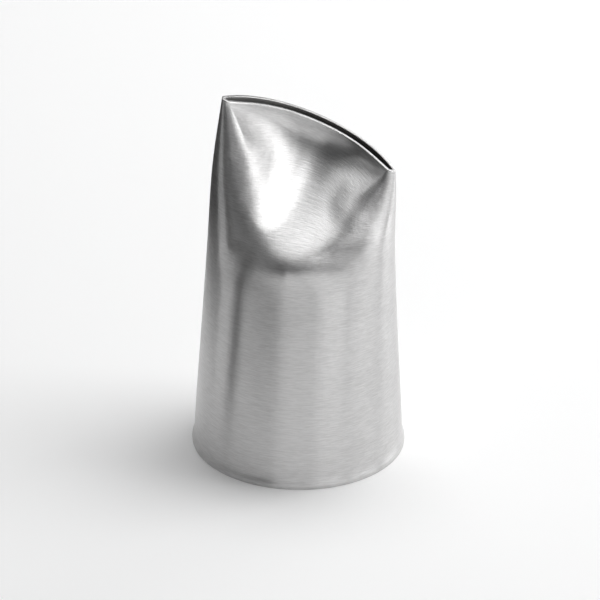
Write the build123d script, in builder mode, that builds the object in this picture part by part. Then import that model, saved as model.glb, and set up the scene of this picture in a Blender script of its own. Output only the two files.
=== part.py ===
from build123d import *
from math import atan, cos, pi, radians, sin, tan
import os

os.makedirs("parts", exist_ok=True)

# Piping nozzle: one stainless sheet shell. A drawn cone is pressed in at its
# front into a bowl, so that its top closes to a curved slit, and the top is
# then cut off on a slant. Millimetres, +Z up, origin in the middle of the
# base ring, the pressed bowl toward -Y.

# Base ring, with the small flared lip that runs round it
rim_diameter = 25.0
lip_flare = 0.3
lip_height = 1.4
foot_round = 0.1

# Sheet
wall = 0.4

# Slanted cut that opens the mouth, lower toward +X: its height over the middle
# of the base, its slant in degrees, and the sheet above it that is cut off
mouth_height = 38.0
mouth_slant = 20.4
trim_height = 1.5

# The cross-sections are level up to the first height and lean by the mouth's
# slant from the second one on
lean_start = 23.5
lean_end = 36.9

# Half angle of the wide back arc of every cross-section
back_turn = radians(56)

# Points along half of each cross-section
half_points = 60

# The flared lip, in even steps from its foot up to the cone: how much of the
# flare is left at each step
lip_shares = (0.91, 0.94, 0.60, 0.20, 0.00)

# Cross-sections of the blank, in even steps from the top of the lip to the top
# of the blank, as shares of the cone's base radius: half width, shift toward
# the mouth's low end, back, front in the middle, corner radius. Then the turn
# from the back to where the front curve starts, as a share of half a turn, and
# how long that curve holds its direction at the corner and in the middle, as
# shares of its half width. A turn above one is a front dished inward.
press_shares = (
    (1.0000, 0.0000, 1.0000, -1.0000, 1.0000, 0.678, 0.407, 0.407),
    (0.9948, 0.0000, 0.9880, -0.9919, 0.9843, 0.678, 0.407, 0.407),
    (0.9890, 0.0000, 0.9765, -0.9830, 0.9687, 0.678, 0.407, 0.407),
    (0.9829, 0.0000, 0.9655, -0.9731, 0.9531, 0.678, 0.407, 0.407),
    (0.9765, 0.0000, 0.9548, -0.9621, 0.9371, 0.678, 0.407, 0.407),
    (0.9698, 0.0000, 0.9445, -0.9500, 0.9205, 0.678, 0.407, 0.407),
    (0.9630, 0.0000, 0.9342, -0.9370, 0.9030, 0.678, 0.407, 0.407),
    (0.9562, 0.0000, 0.9239, -0.9232, 0.8849, 0.678, 0.407, 0.407),
    (0.9494, 0.0000, 0.9137, -0.9086, 0.8657, 0.678, 0.407, 0.407),
    (0.9427, 0.0000, 0.9033, -0.8927, 0.8449, 0.678, 0.407, 0.407),
    (0.9362, 0.0000, 0.8928, -0.8754, 0.8217, 0.678, 0.407, 0.407),
    (0.9298, 0.0000, 0.8823, -0.8571, 0.7975, 0.678, 0.407, 0.407),
    (0.9235, 0.0000, 0.8719, -0.8374, 0.7726, 0.678, 0.407, 0.407),
    (0.9174, 0.0000, 0.8617, -0.8163, 0.7470, 0.681, 0.407, 0.407),
    (0.9115, 0.0000, 0.8517, -0.7934, 0.7206, 0.692, 0.407, 0.407),
    (0.9058, 0.0000, 0.8419, -0.7686, 0.6933, 0.703, 0.407, 0.407),
    (0.9003, 0.0000, 0.8321, -0.7436, 0.6652, 0.713, 0.407, 0.407),
    (0.8949, 0.0000, 0.8223, -0.7232, 0.6356, 0.727, 0.398, 0.383),
    (0.8899, 0.0001, 0.8125, -0.7105, 0.6037, 0.750, 0.373, 0.313),
    (0.8852, 0.0008, 0.8030, -0.6990, 0.5683, 0.794, 0.352, 0.256),
    (0.8812, 0.0016, 0.7935, -0.6148, 0.5280, 0.860, 0.403, 0.328),
    (0.8779, 0.0025, 0.7841, -0.4001, 0.4762, 0.871, 0.551, 0.548),
    (0.8745, 0.0037, 0.7746, -0.1691, 0.4158, 0.886, 0.513, 0.571),
    (0.8705, 0.0060, 0.7652, 0.0353, 0.3493, 0.974, 0.370, 0.561),
    (0.8647, 0.0099, 0.7557, 0.2122, 0.2838, 1.054, 0.348, 0.548),
    (0.8570, 0.0156, 0.7461, 0.3605, 0.2234, 1.137, 0.343, 0.527),
    (0.8483, 0.0220, 0.7366, 0.4734, 0.1743, 1.253, 0.341, 0.512),
    (0.8394, 0.0277, 0.7269, 0.5377, 0.1246, 1.298, 0.341, 0.509),
    (0.8303, 0.0319, 0.7167, 0.5524, 0.0767, 1.282, 0.341, 0.509),
    (0.8205, 0.0343, 0.7058, 0.5454, 0.0500, 1.203, 0.341, 0.509),
    (0.8095, 0.0354, 0.6943, 0.5500, 0.0500, 1.203, 0.341, 0.509),
)

cone_radius = rim_diameter / 2 - lip_flare
press_height = mouth_height + trim_height - lip_height
slant = radians(mouth_slant)
steps = [step / half_points for step in range(2 * half_points + 1)]


def outline_points(half_width, shift, back, front, corner, front_turn, corner_hold, middle_hold):
    # half of the outline is a wide back arc, a corner arc and half of the
    # front curve, each tangent to the next; the other half mirrors it
    side = half_width - corner
    depth = back - corner - side * tan(back_turn / 2)
    back_end = (side + corner * sin(back_turn), depth + corner * cos(back_turn))
    front_end = (side + corner * sin(front_turn), depth + corner * cos(front_turn))
    reach = front_end[0]
    corner_handle = (
        reach + reach * corner_hold * cos(front_turn),
        front_end[1] - reach * corner_hold * sin(front_turn),
    )
    with BuildLine() as half:
        back_arc = TangentArc((0, back), back_end, tangent=(1, 0))
        TangentArc(back_end, front_end, tangent=back_arc % 1)
        Bezier(front_end, corner_handle, (reach * middle_hold, front), (0, front))
    outline = half.wire()
    right = [outline @ (step / half_points) for step in range(half_points + 1)]
    left = [(-point.X, point.Y) for point in reversed(right[1:-1])]
    return [(point.X + shift, point.Y) for point in right] + [(x + shift, y) for x, y in left]


with BuildPart() as nozzle_body:
    # the flared lip, solid for now
    for level, flare_share in enumerate(lip_shares):
        lip_radius = cone_radius + lip_flare * flare_share
        round_shares = press_shares[0][:5]
        with BuildSketch(Plane.XY.offset(lip_height * level / (len(lip_shares) - 1))):
            with BuildLine():
                points = outline_points(
                    *[share * lip_radius for share in round_shares],
                    press_shares[0][5] * pi,
                    *press_shares[0][6:],
                )
                add(Edge.make_spline(points, periodic=True, parameters=steps))
            make_face()
    loft()

    # the pressed blank on top of it
    for level, shares in enumerate(press_shares):
        height = lip_height + press_height * level / (len(press_shares) - 1)
        lean_share = min(max((height - lean_start) / (lean_end - lean_start), 0), 1)
        lean = atan(tan(slant) * lean_share**2 * (3 - 2 * lean_share))
        leaning = Plane(
            origin=(0, 0, height),
            x_dir=(cos(lean), 0, -sin(lean)),
            z_dir=(sin(lean), 0, cos(lean)),
        )
        points = outline_points(
            *[share * cone_radius for share in shares[:5]],
            shares[5] * pi,
            *shares[6:],
        )
        with BuildSketch(leaning):
            with BuildLine():
                points = [(x / cos(lean), y) for x, y in points]
                add(Edge.make_spline(points, periodic=True, parameters=steps))
            make_face()
    loft()

    # hollow it to sheet, open at both ends, and cut the mouth on its slant
    ends = faces().sort_by(Axis.Z)
    offset(amount=-wall, openings=[ends[0], ends[-1]])
    mouth_plane = Plane(origin=(0, 0, mouth_height), z_dir=(sin(slant), 0, cos(slant)))
    split(bisect_by=mouth_plane, keep=Keep.BOTTOM)

    # ease both edges of the foot
    fillet(edges().group_by(Axis.Z)[0], radius=foot_round)
nozzle_body.part.label = "nozzle_body"
export_step(nozzle_body.part, "parts/nozzle_body.step")
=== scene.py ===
from math import atan2, cos, pi, radians, sin, tan

import bmesh
import bpy
import numpy as np
from mathutils import Matrix, Vector


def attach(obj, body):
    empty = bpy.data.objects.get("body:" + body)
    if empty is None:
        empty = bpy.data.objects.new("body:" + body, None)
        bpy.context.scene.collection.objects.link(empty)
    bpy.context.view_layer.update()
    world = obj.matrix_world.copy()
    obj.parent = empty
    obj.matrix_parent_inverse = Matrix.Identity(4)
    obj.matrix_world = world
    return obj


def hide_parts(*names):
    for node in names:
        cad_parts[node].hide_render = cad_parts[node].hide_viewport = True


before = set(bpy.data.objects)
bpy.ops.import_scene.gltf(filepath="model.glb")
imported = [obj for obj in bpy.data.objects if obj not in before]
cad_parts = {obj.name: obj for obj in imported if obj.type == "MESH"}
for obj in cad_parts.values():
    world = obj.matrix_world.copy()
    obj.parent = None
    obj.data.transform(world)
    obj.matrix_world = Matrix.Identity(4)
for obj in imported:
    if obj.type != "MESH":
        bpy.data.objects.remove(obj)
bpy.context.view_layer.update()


# The camera stands as the photograph's did: in front of the pressed bowl, a
# little toward the low end of the mouth, and looking down on the nozzle.
scene = bpy.context.scene
MM = 0.001
camera_turn = radians(9.8)
camera_rise = radians(27.5)
camera_roll = radians(0.49)
camera_distance = 400 * MM
nearest_seen = 10 * MM
farthest_seen = 20
film_width = 36
lens_length = 208.08
aim_height = 18.05 * MM
aim_right = 0.06 * MM
toward_camera = Vector((
    sin(camera_turn) * cos(camera_rise),
    -cos(camera_turn) * cos(camera_rise),
    sin(camera_rise),
))
level_right = Vector((cos(camera_turn), sin(camera_turn), 0))
level_up = toward_camera.cross(level_right)
camera_right = level_right * cos(camera_roll) + level_up * sin(camera_roll)
camera_up = level_up * cos(camera_roll) - level_right * sin(camera_roll)
camera_data = bpy.data.cameras.new("camera")
camera_data.sensor_width = film_width
camera_data.lens = lens_length
camera_data.clip_start = nearest_seen
camera_data.clip_end = farthest_seen
camera = bpy.data.objects.new("camera", camera_data)
scene.collection.objects.link(camera)
camera.matrix_world = Matrix.Translation(
    level_right * aim_right + Vector((0, 0, aim_height)) + toward_camera * camera_distance
) @ Matrix((camera_right, camera_up, toward_camera)).transposed().to_4x4()
scene.camera = camera


# The nozzle is one sheet of stainless steel. It is drawn into a cone with a
# small flared lip, its front is pressed in to a bowl until the top closes to
# a curved slit, and the top is then cut off on a slant.
cone_radius = 12.2 * MM
lip_flare = 0.3 * MM
lip_height = 1.4 * MM
sheet = 0.4 * MM
mouth_height = 38.0 * MM
mouth_slant = radians(20.4)
blank_height = 39.5 * MM
lean_start = 23.5 * MM
lean_end = 36.9 * MM
back_turn = radians(56)
# how much of the flare is left, in even steps up the lip
lip_shares = (0.91, 0.94, 0.60, 0.20, 0.00)
# cross-sections in even steps from the lip's top to the blank's top, as shares
# of the cone's radius: half width, shift toward the low end, back, front,
# corner; then the turn to the front curve and how long it holds at both ends
press_shares = np.array((
    (1.0000, 0.0000, 1.0000, -1.0000, 1.0000, 0.678, 0.407, 0.407),
    (0.9948, 0.0000, 0.9880, -0.9919, 0.9843, 0.678, 0.407, 0.407),
    (0.9890, 0.0000, 0.9765, -0.9830, 0.9687, 0.678, 0.407, 0.407),
    (0.9829, 0.0000, 0.9655, -0.9731, 0.9531, 0.678, 0.407, 0.407),
    (0.9765, 0.0000, 0.9548, -0.9621, 0.9371, 0.678, 0.407, 0.407),
    (0.9698, 0.0000, 0.9445, -0.9500, 0.9205, 0.678, 0.407, 0.407),
    (0.9630, 0.0000, 0.9342, -0.9370, 0.9030, 0.678, 0.407, 0.407),
    (0.9562, 0.0000, 0.9239, -0.9232, 0.8849, 0.678, 0.407, 0.407),
    (0.9494, 0.0000, 0.9137, -0.9086, 0.8657, 0.678, 0.407, 0.407),
    (0.9427, 0.0000, 0.9033, -0.8927, 0.8449, 0.678, 0.407, 0.407),
    (0.9362, 0.0000, 0.8928, -0.8754, 0.8217, 0.678, 0.407, 0.407),
    (0.9298, 0.0000, 0.8823, -0.8571, 0.7975, 0.678, 0.407, 0.407),
    (0.9235, 0.0000, 0.8719, -0.8374, 0.7726, 0.678, 0.407, 0.407),
    (0.9174, 0.0000, 0.8617, -0.8163, 0.7470, 0.681, 0.407, 0.407),
    (0.9115, 0.0000, 0.8517, -0.7934, 0.7206, 0.692, 0.407, 0.407),
    (0.9058, 0.0000, 0.8419, -0.7686, 0.6933, 0.703, 0.407, 0.407),
    (0.9003, 0.0000, 0.8321, -0.7436, 0.6652, 0.713, 0.407, 0.407),
    (0.8949, 0.0000, 0.8223, -0.7232, 0.6356, 0.727, 0.398, 0.383),
    (0.8899, 0.0001, 0.8125, -0.7105, 0.6037, 0.750, 0.373, 0.313),
    (0.8852, 0.0008, 0.8030, -0.6990, 0.5683, 0.794, 0.352, 0.256),
    (0.8812, 0.0016, 0.7935, -0.6148, 0.5280, 0.860, 0.403, 0.328),
    (0.8779, 0.0025, 0.7841, -0.4001, 0.4762, 0.871, 0.551, 0.548),
    (0.8745, 0.0037, 0.7746, -0.1691, 0.4158, 0.886, 0.513, 0.571),
    (0.8705, 0.0060, 0.7652, 0.0353, 0.3493, 0.974, 0.370, 0.561),
    (0.8647, 0.0099, 0.7557, 0.2122, 0.2838, 1.054, 0.348, 0.548),
    (0.8570, 0.0156, 0.7461, 0.3605, 0.2234, 1.137, 0.343, 0.527),
    (0.8483, 0.0220, 0.7366, 0.4734, 0.1743, 1.253, 0.341, 0.512),
    (0.8394, 0.0277, 0.7269, 0.5377, 0.1246, 1.298, 0.341, 0.509),
    (0.8303, 0.0319, 0.7167, 0.5524, 0.0767, 1.282, 0.341, 0.509),
    (0.8205, 0.0343, 0.7058, 0.5454, 0.0500, 1.203, 0.341, 0.509),
    (0.8095, 0.0354, 0.6943, 0.5500, 0.0500, 1.203, 0.341, 0.509),
))
round_turn = pi * press_shares[0][5]
columns = 240
outer_rings = 168
inner_rings = 84
edge_ease = 0.06 * MM
edge_steps = 3
# where the foot and the mouth's rim lie on the sheet's map, outside first
foot_v = 0.01
rim_v = 0.49


def even_curve(rows):
    """A smooth curve through evenly spaced rows, read by a share from 0 to 1."""
    rows = np.asarray(rows, float).reshape(len(rows), -1)
    count = len(rows)
    system = np.eye(count)
    bend = np.zeros_like(rows)
    for row in range(1, count - 1):
        system[row, row - 1:row + 2] = (1, 4, 1)
        bend[row] = 6 * (rows[row - 1] - 2 * rows[row] + rows[row + 1])
    bend = np.linalg.solve(system, bend)

    def read(share):
        place = min(max(share, 0.0), 1.0) * (count - 1)
        low = min(int(place), count - 2)
        after = place - low
        before = 1 - after
        return (
            rows[low] * before + rows[low + 1] * after
            + ((before**3 - before) * bend[low] + (after**3 - after) * bend[low + 1]) / 6
        )

    return read


read_lip = even_curve(lip_shares)
read_press = even_curve(press_shares)
press_units = np.array((cone_radius,) * 5 + (pi, 1, 1))


def pressed(turn, level):
    """Where a point of the round blank, at this turn from the back, lies after pressing."""
    if level < lip_height:
        radius = cone_radius + lip_flare * read_lip(level / lip_height)[0]
        return Vector((radius * sin(turn), radius * cos(turn), level))
    share = (level - lip_height) / (blank_height - lip_height)
    half_width, shift, back, front, corner, front_turn, corner_hold, middle_hold = (
        read_press(share) * press_units
    )
    side = half_width - corner
    depth = back - corner - side * tan(back_turn / 2)
    away = abs(turn)
    if away <= back_turn:
        radius = corner + side / sin(back_turn)
        x = radius * sin(away)
        y = back - radius + radius * cos(away)
    elif away <= round_turn:
        angle = back_turn + (away - back_turn) / (round_turn - back_turn) * (front_turn - back_turn)
        x = side + corner * sin(angle)
        y = depth + corner * cos(angle)
    else:
        along = (pi - away) / (pi - round_turn)
        rest = 1 - along
        end_x = side + corner * sin(front_turn)
        end_y = depth + corner * cos(front_turn)
        x = (
            end_x * along**3
            + 3 * end_x * (1 + corner_hold * cos(front_turn)) * along**2 * rest
            + 3 * end_x * middle_hold * along * rest**2
        )
        y = (
            end_y * along**3
            + 3 * (end_y - end_x * corner_hold * sin(front_turn)) * along**2 * rest
            + front * (3 * along * rest**2 + rest**3)
        )
    x = (x if turn >= 0 else -x) + shift
    lean = min(max((level - lean_start) / (lean_end - lean_start), 0), 1)
    return Vector((x, y, level - x * tan(mouth_slant) * lean**2 * (3 - 2 * lean)))


def inner_point(turn, height):
    """The same place on the inside of the sheet."""
    height_step = 0.02 * MM
    turn_step = 0.002
    rise = pressed(turn, height + height_step) - pressed(turn, max(height - height_step, 0.0))
    around = pressed(turn + turn_step, height) - pressed(turn - turn_step, height)
    outward = rise.cross(around).normalized()
    return pressed(turn, height) - outward * sheet


def mouth_level(point_at, turn):
    """The height on this column at which the slanted cut meets it."""
    height = mouth_height
    rounds = 12
    for _ in range(rounds):
        place = point_at(turn, height)
        height += mouth_height - place.z - place.x * tan(mouth_slant)
    return height


turns = [-pi + 2 * pi * column / columns for column in range(columns)]
outer_tops = [mouth_level(pressed, turn) for turn in turns]
inner_tops = [mouth_level(inner_point, turn) for turn in turns]

shell = bmesh.new()
column_of = shell.verts.layers.int.new("column")
along_sheet = shell.verts.layers.float.new("along_sheet")
blank_place = shell.verts.layers.float_vector.new("blank_place")
ring = bmesh.ops.create_circle(shell, segments=columns, radius=cone_radius)["verts"]
for vert in ring:
    away = atan2(vert.co.x, vert.co.y)
    vert[column_of] = round((away + pi) / (2 * pi) * columns) % columns
shell_edges = list(shell.edges)


def settle(verts, point_at, tops, share):
    """Puts a ring's points in place, and notes where they lay on the round blank."""
    for vert in verts:
        column = vert[column_of]
        turn = turns[column]
        height = tops[column] * share
        vert.co = point_at(turn, height)
        vert[blank_place] = (cone_radius * sin(turn), cone_radius * cos(turn), height)
        vert[along_sheet] = (
            foot_v + (rim_v - foot_v) * share if point_at is pressed
            else 1 - foot_v - (rim_v - foot_v) * share
        )


def next_ring(edges):
    """A new ring drawn out of the last one: its points and its edges."""
    made = bmesh.ops.extrude_edge_only(shell, edges=edges)["geom"]
    verts = [item for item in made if isinstance(item, bmesh.types.BMVert)]
    fresh = set(verts)
    return verts, [
        item for item in made
        if isinstance(item, bmesh.types.BMEdge) and all(end in fresh for end in item.verts)
    ]


settle(ring, pressed, outer_tops, 0)
rim_rings = [shell_edges]
edges = shell_edges
for level in range(1, outer_rings + 1):
    verts, edges = next_ring(edges)
    settle(verts, pressed, outer_tops, level / outer_rings)
rim_rings.append(edges)
for level in range(inner_rings, -1, -1):
    verts, edges = next_ring(edges)
    settle(verts, inner_point, inner_tops, level / inner_rings)
    if level == inner_rings:
        rim_rings.append(edges)
for vert in verts:
    vert.co.z = 0
rim_rings.append(edges)
bmesh.ops.bridge_loops(shell, edges=rim_rings[0] + rim_rings[-1])
bmesh.ops.recalc_face_normals(shell, faces=shell.faces)
bmesh.ops.bevel(
    shell, geom=[edge for loop in rim_rings for edge in loop], offset=edge_ease,
    segments=edge_steps, profile=0.5, affect="EDGES", material=-1,
)

# the sheet laid flat: round the nozzle from the back, then from the foot up the
# outside and down the inside, so that the brushing knows its way
brushing_map = shell.loops.layers.uv.new("brushing")
for face in shell.faces:
    face.smooth = True
    around = [(vert[column_of] / columns + 0.5) % 1.0 for vert in face.verts]
    along = [vert[along_sheet] for vert in face.verts]
    crosses_back = max(around) - min(around) > 0.5
    under_foot = max(along) - min(along) > 0.5
    for loop, u, v in zip(face.loops, around, along):
        loop[brushing_map].uv = (
            u + 1 if crosses_back and u < 0.5 else u,
            0 if under_foot and v > 0.5 else v,
        )
nozzle_mesh = bpy.data.meshes.new("nozzle_body")
shell.to_mesh(nozzle_mesh)
shell.free()
nozzle = bpy.data.objects.new("nozzle_shell", nozzle_mesh)
scene.collection.objects.link(nozzle)
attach(nozzle, "root")
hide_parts("nozzle_body")

# The steel is brushed round the cone. Its reflections are stretched up and down
# the sheet, across the fine marks that the brush leaves.
reflection_stretch = 0.86
up_the_sheet = 0.25
dark_steel = (0.50, 0.496, 0.495, 1)
light_steel = (0.66, 0.656, 0.655, 1)
# painted shade: the sheet's inside gets a darker colour because little light reaches into the slit
inside_painted_shade = (0.30, 0.296, 0.293, 1)
smoothest, roughest = 0.275, 0.315
rougher_inside = 0.06
smoother_rim = 0.1
mark_depth = 0.018 * MM
steel = bpy.data.materials.new("brushed_stainless")
steel.use_nodes = True
nodes = steel.node_tree.nodes
links = steel.node_tree.links
surface = nodes["Principled BSDF"]
surface.inputs["Metallic"].default_value = 1.0
surface.inputs["Anisotropic"].default_value = reflection_stretch
surface.inputs["Anisotropic Rotation"].default_value = up_the_sheet
brush_way = nodes.new("ShaderNodeTangent")
brush_way.direction_type = "UV_MAP"
brush_way.uv_map = "brushing"
links.new(brush_way.outputs[0], surface.inputs["Tangent"])
on_blank = nodes.new("ShaderNodeAttribute")
on_blank.attribute_name = "blank_place"
on_map = nodes.new("ShaderNodeUVMap")
on_map.uv_map = "brushing"
map_parts = nodes.new("ShaderNodeSeparateXYZ")
links.new(on_map.outputs[0], map_parts.inputs[0])
way_along = map_parts.outputs["Y"]


def brush_marks(length, thickness, detail, wander):
    """Marks this long round the cone and this thick, as values about a half."""
    stretch = nodes.new("ShaderNodeMapping")
    stretch.inputs["Scale"].default_value = (1 / length, 1 / length, 1 / thickness)
    links.new(on_blank.outputs["Vector"], stretch.inputs["Vector"])
    marks = nodes.new("ShaderNodeTexNoise")
    marks.inputs["Scale"].default_value = 1
    marks.inputs["Detail"].default_value = detail
    marks.inputs["Roughness"].default_value = 0.55
    marks.inputs["Distortion"].default_value = wander
    links.new(stretch.outputs[0], marks.inputs["Vector"])
    return marks.outputs["Fac"]


def between(value, low, high, to_low=0, to_high=1):
    """The value, carried softly from one range to another and kept within it."""
    carry = nodes.new("ShaderNodeMapRange")
    carry.interpolation_type = "SMOOTHSTEP"
    carry.inputs["From Min"].default_value = low
    carry.inputs["From Max"].default_value = high
    carry.inputs["To Min"].default_value = to_low
    carry.inputs["To Max"].default_value = to_high
    links.new(value, carry.inputs["Value"])
    return carry.outputs["Result"]


def worked(operation, first, second):
    """One sum on two values, each a link or a number."""
    node = nodes.new("ShaderNodeMath")
    node.operation = operation
    for socket, value in zip(node.inputs, (first, second)):
        if isinstance(value, (int, float)):
            socket.default_value = value
        else:
            links.new(value, socket)
    return node.outputs[0]


def weighed(*pairs):
    """The sum of values, each times its weight."""
    total = None
    for value, weight in pairs:
        part = worked("MULTIPLY", value, weight)
        total = part if total is None else worked("ADD", total, part)
    return total


hairlines = brush_marks(1.3 * MM, 0.105 * MM, 2, 0.6)
long_marks = brush_marks(5.5 * MM, 0.07 * MM, 1, 0.2)
cloud = brush_marks(4.0 * MM, 2.2 * MM, 2, 0)
draw_lines = brush_marks(0.35 * MM, 14 * MM, 2, 0)
faint, strong = 0.3, 0.7

# 1 on the brushed outside of the sheet and 0 on its inside, which is as drawn
outside = between(way_along, 0.505, 0.515, 1, 0)
# 1 on the mouth's rim, which the cut leaves smoother
rim = worked("MULTIPLY", between(way_along, 0.4865, 0.4895), between(way_along, 0.5105, 0.5135, 1, 0))

brushed_relief = worked("MULTIPLY", weighed((hairlines, 1), (long_marks, 0.45)), outside)
brush_relief = nodes.new("ShaderNodeBump")
brush_relief.inputs["Strength"].default_value = 1.0
brush_relief.inputs["Distance"].default_value = mark_depth
links.new(weighed((brushed_relief, 1), (draw_lines, 0.35)), brush_relief.inputs["Height"])
links.new(brush_relief.outputs["Normal"], surface.inputs["Normal"])
links.new(
    weighed(
        (between(cloud, faint, strong, smoothest, roughest), 1),
        (hairlines, 0.05),
        (rim, -smoother_rim),
        (worked("SUBTRACT", 1, outside), rougher_inside),
    ),
    surface.inputs["Roughness"],
)

brushed_shade = nodes.new("ShaderNodeMix")
brushed_shade.data_type = "RGBA"
brushed_shade.inputs["A"].default_value = dark_steel
brushed_shade.inputs["B"].default_value = light_steel
links.new(
    weighed(
        (between(hairlines, faint, strong), 0.6),
        (between(long_marks, faint, strong), 0.25),
        (between(cloud, faint, strong), 0.15),
    ),
    brushed_shade.inputs["Factor"],
)
# painted shade on the inside of the sheet: the outside takes the brushed colours, and the inside
# takes a darker colour that stands in for the light it lacks
sheet_shade = nodes.new("ShaderNodeMix")
sheet_shade.data_type = "RGBA"
sheet_shade.inputs["A"].default_value = inside_painted_shade
links.new(outside, sheet_shade.inputs["Factor"])
links.new(brushed_shade.outputs["Result"], sheet_shade.inputs["B"])
links.new(sheet_shade.outputs["Result"], surface.inputs["Base Color"])
nozzle_mesh.materials.append(steel)


# The nozzle stands on a wide sheet of matt white board. Camera and reflections
# see it a little brighter than it is lit, so that it stays a plain white.
floor_half = 2.0
board_white = (0.86, 0.86, 0.86, 1)
board_roughness = 0.9
board_gloss = 0.1
board_lift = 0.13
board = bmesh.new()
bmesh.ops.create_grid(board, x_segments=1, y_segments=1, size=floor_half)
floor_mesh = bpy.data.meshes.new("white_board")
board.to_mesh(floor_mesh)
board.free()
floor = bpy.data.objects.new("white_board", floor_mesh)
scene.collection.objects.link(floor)
matt_white = bpy.data.materials.new("matt_white_board")
matt_white.use_nodes = True
board_nodes = matt_white.node_tree.nodes
board_links = matt_white.node_tree.links
board_surface = board_nodes["Principled BSDF"]
board_surface.inputs["Base Color"].default_value = board_white
board_surface.inputs["Roughness"].default_value = board_roughness
board_surface.inputs["Specular IOR Level"].default_value = board_gloss
board_surface.inputs["Emission Color"].default_value = (1, 1, 1, 1)
ray = board_nodes.new("ShaderNodeLightPath")
seen = board_nodes.new("ShaderNodeMath")
seen.operation = "MAXIMUM"
board_links.new(ray.outputs["Is Camera Ray"], seen.inputs[0])
board_links.new(ray.outputs["Is Glossy Ray"], seen.inputs[1])
seen_through = board_nodes.new("ShaderNodeMath")
seen_through.operation = "MAXIMUM"
board_links.new(seen.outputs[0], seen_through.inputs[0])
board_links.new(ray.outputs["Is Transmission Ray"], seen_through.inputs[1])
lift = board_nodes.new("ShaderNodeMath")
lift.operation = "MULTIPLY"
lift.inputs[1].default_value = board_lift
board_links.new(seen_through.outputs[0], lift.inputs[0])
board_links.new(lift.outputs[0], board_surface.inputs["Emission Strength"])
floor_mesh.materials.append(matt_white)


# The studio is dim behind the camera. Soft panels light the nozzle from the
# right, from above and behind, and weakly from the left.
room_colour = (0.98, 0.99, 1, 1)
room_level = 0.12
panel_distance = 0.55
panel_aim = Vector((0, 0, 20 * MM))
studio = bpy.data.worlds.new("studio")
scene.world = studio
studio.use_nodes = True
room = studio.node_tree.nodes["Background"]
room.inputs["Color"].default_value = room_colour
room.inputs["Strength"].default_value = room_level


def away_from_nozzle(turn, rise):
    """The direction from the nozzle, turned from the front toward the low end."""
    return Vector((
        sin(radians(turn)) * cos(radians(rise)),
        -cos(radians(turn)) * cos(radians(rise)),
        sin(radians(rise)),
    ))


def soft_panel(name, turn, rise, width, height, level):
    """A soft panel facing the nozzle; level is how bright its face is, 1 being white."""
    lamp_data = bpy.data.lights.new(name, "AREA")
    lamp_data.shape = "RECTANGLE"
    lamp_data.size = width
    lamp_data.size_y = height
    lamp_data.energy = level * pi * width * height
    lamp = bpy.data.objects.new(name, lamp_data)
    scene.collection.objects.link(lamp)
    away = away_from_nozzle(turn, rise)
    lamp.matrix_world = (
        Matrix.Translation(away * panel_distance + panel_aim)
        @ away.to_track_quat("Z", "Y").to_matrix().to_4x4()
    )
    lamp.visible_camera = False


# name, turn, rise, width, height, level
for panel in (
    ("key_panel", 112, 44, 0.36, 0.24, 3.7),
    ("key_high_panel", 112, 66, 0.30, 0.22, 2.6),
    ("back_high_panel", 180, 66, 0.45, 0.20, 4.0),
    ("back_panel", 180, 44, 0.50, 0.20, 0.8),
    ("low_back_panel", 156, 14, 0.30, 0.30, 2.0),
    ("right_back_panel", 122, 6, 0.26, 0.19, 2.9),
    ("right_panel", 80, 12, 0.36, 0.26, 1.1),
    ("right_front_panel", 42, 6, 0.32, 0.19, 1.7),
    ("front_low_panel", 5, 6, 0.36, 0.19, 1.0),
    ("left_panel", -72, 30, 0.24, 0.24, 0.4),
):
    soft_panel(*panel)


# Two dark cards stand at the left, a wide one a little behind and a narrow one
# a little in front. Only reflections show them, as dark bands on the steel.
card_black = (0.06, 0.06, 0.06, 1)
card_roughness = 0.9
black_card = bpy.data.materials.new("matt_black_card")
black_card.use_nodes = True
black_surface = black_card.node_tree.nodes["Principled BSDF"]
black_surface.inputs["Base Color"].default_value = card_black
black_surface.inputs["Roughness"].default_value = card_roughness
for name, turn, distance, width, height in (
    ("wide_dark_card", -116, 60 * MM, 66 * MM, 62 * MM),
    ("narrow_dark_card", -60, 40 * MM, 8 * MM, 60 * MM),
):
    card_sheet = bmesh.new()
    bmesh.ops.create_grid(card_sheet, x_segments=1, y_segments=1, size=0.5)
    bmesh.ops.scale(card_sheet, vec=(width, height, 1), verts=card_sheet.verts)
    toward_card = away_from_nozzle(turn, 0)
    bmesh.ops.transform(
        card_sheet,
        matrix=Matrix.Translation(toward_card * distance + Vector((0, 0, height / 2)))
        @ toward_card.to_track_quat("Z", "Y").to_matrix().to_4x4(),
        verts=card_sheet.verts,
    )
    card_mesh = bpy.data.meshes.new(name)
    card_sheet.to_mesh(card_mesh)
    card_sheet.free()
    card = bpy.data.objects.new(name, card_mesh)
    scene.collection.objects.link(card)
    card.visible_camera = False
    card.visible_diffuse = False
    card.visible_shadow = False
    card_mesh.materials.append(black_card)


# The picture keeps its colours as they are lit.
scene.view_settings.view_transform = "Standard"
